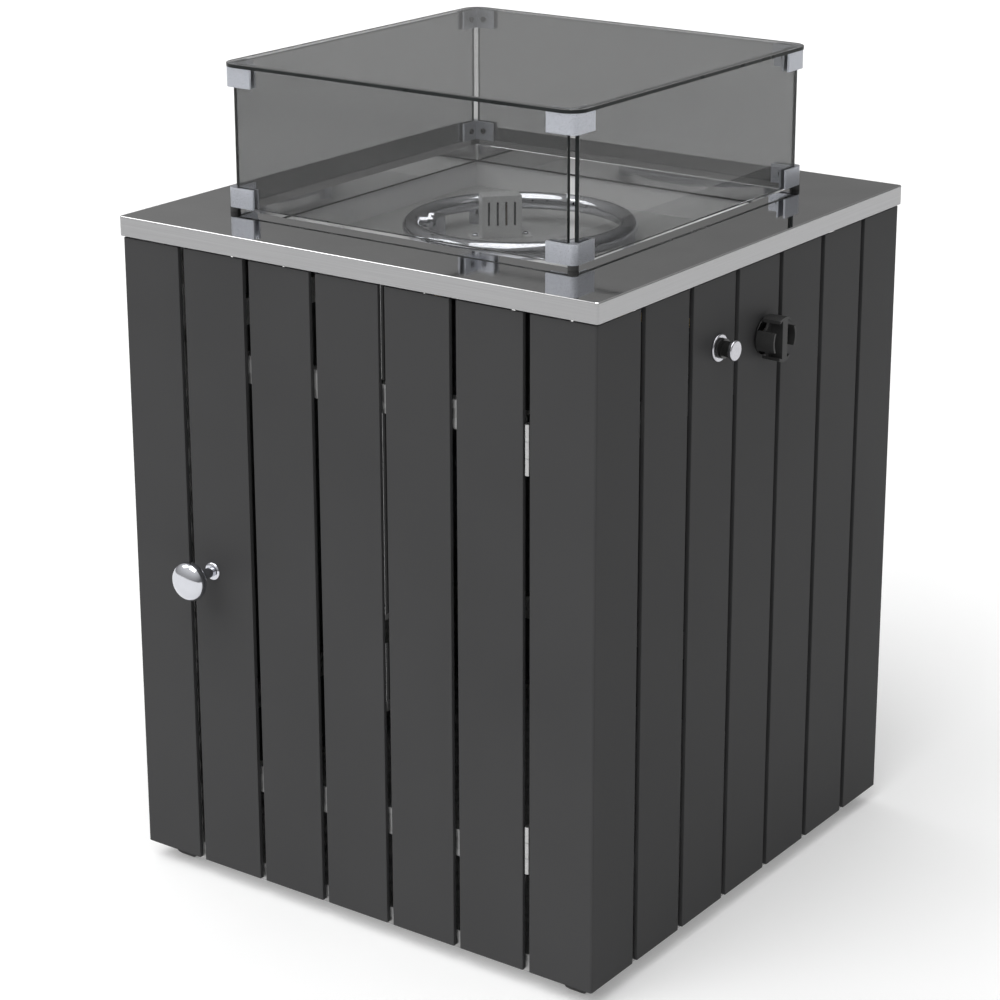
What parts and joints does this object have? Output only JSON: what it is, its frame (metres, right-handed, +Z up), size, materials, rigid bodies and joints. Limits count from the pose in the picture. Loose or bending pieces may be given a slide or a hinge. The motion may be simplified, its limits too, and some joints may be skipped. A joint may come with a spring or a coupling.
{
  "type": "gas fire pit table",
  "caption": "Square outdoor gas fire table: slatted metal cabinet with a hinged door, polished steel top, sunken ring burner, and a glass wind guard with a lift-off glass lid.",
  "frame": {"origin": "on the floor, under the middle of the square table, between the four feet", "axes": "+Z up; the door faces -Y and the gas controls face +X"},
  "size_m": [0.6225, 0.6465, 0.895],
  "materials": {
    "polished_steel": "polished sheet",
    "guard_steel": "satin",
    "burner_steel": "polished tube",
    "pan_steel": "mill finish sheet",
    "hinge_steel": "plain",
    "frame_metal": "plain tube and sheet",
    "slate_paint": "satin powder coat",
    "chrome": "bright",
    "brass": "plain",
    "copper_probe": "plain",
    "ceramic": "glazed",
    "black_plastic": "moulded",
    "screws": "blackened",
    "black_rubber": "matt",
    "smoked_glass": "smoked, polished"
  },
  "bodies": {
    "cabinet": {"table_top": "polished_steel", "ring_burner": "burner_steel", "burner_stands": "burner_steel", "feed_elbow": "burner_steel", "burner_pan": "pan_steel", "ignition_hood": "pan_steel", "upper_hinge_frame_leaf": "hinge_steel", "lower_hinge_frame_leaf": "hinge_steel", "upper_hinge_pin": "hinge_steel", "lower_hinge_pin": "hinge_steel", "base_rails": "frame_metal", "corner_posts": "frame_metal", "door_jambs": "frame_metal", "right_rails": "frame_metal", "back_rails": "frame_metal", "left_rails": "frame_metal", "top_rails": "frame_metal", "floor_tray": "frame_metal", "control_bracket": "frame_metal", "corner_boards": "slate_paint", "right_boards": "slate_paint", "back_boards": "slate_paint", "left_boards": "slate_paint", "igniter_bezel": "chrome", "gas_valve": "brass", "hose_tail": "brass", "burner_pipe": "brass", "thermocouple": "copper_probe", "spark_electrode": "ceramic", "valve_bezel": "black_plastic", "igniter_body": "black_plastic", "door_catch": "black_plastic", "feet": "black_plastic"},
    "door": {"door_board_1": "slate_paint", "door_board_2": "slate_paint", "door_board_3": "slate_paint", "door_board_4": "slate_paint", "door_board_5": "slate_paint", "upper_door_rail": "frame_metal", "lower_door_rail": "frame_metal", "door_knob": "chrome", "knob_rosette": "chrome", "catch_plate": "hinge_steel", "upper_hinge_door_leaf": "hinge_steel", "lower_hinge_door_leaf": "hinge_steel"},
    "valve_plug": {"valve_plug": "brass"},
    "knob": {"valve_stem": "hinge_steel", "control_knob": "black_plastic"},
    "igniter_button": {"igniter_plunger": "black_plastic", "igniter_cap": "chrome"},
    "guard": {"front_pane": "smoked_glass", "right_pane": "smoked_glass", "back_pane": "smoked_glass", "left_pane": "smoked_glass", "upper_clips": "guard_steel", "lower_clips": "guard_steel", "clip_screws": "screws", "guard_feet": "black_rubber"},
    "lid": {"glass_lid": "smoked_glass"}
  },
  "joints": [
    {"name": "door_hinge", "type": "hinge", "parent": "cabinet", "child": "door", "pos_m": [0.2175, -0.2945, 0.365], "axis": [0, 0, 1], "range_deg": [0, 100]},
    {"name": "knob_turn", "type": "hinge", "parent": "cabinet", "child": "valve_plug", "pos_m": [0.2975, 0.011, 0.633], "axis": [1, 0, 0], "range_deg": [0, 200]},
    {"name": "knob_push", "type": "slide", "parent": "valve_plug", "child": "knob", "axis": [-1, 0, 0], "range_m": [0, 0.004], "stiffness_N_per_m": 500, "springref_m": -0.004},
    {"name": "igniter_push", "type": "slide", "parent": "cabinet", "child": "igniter_button", "axis": [-1, 0, 0], "range_m": [0, 0.006], "stiffness_N_per_m": 800, "springref_m": -0.004},
    {"name": "guard_lift", "type": "slide", "parent": "cabinet", "child": "guard", "axis": [0, 0, 1], "range_m": [0, 0.15]},
    {"name": "lid_lift", "type": "slide", "parent": "guard", "child": "lid", "axis": [0, 0, 1], "range_m": [0, 0.15]}
  ]
}
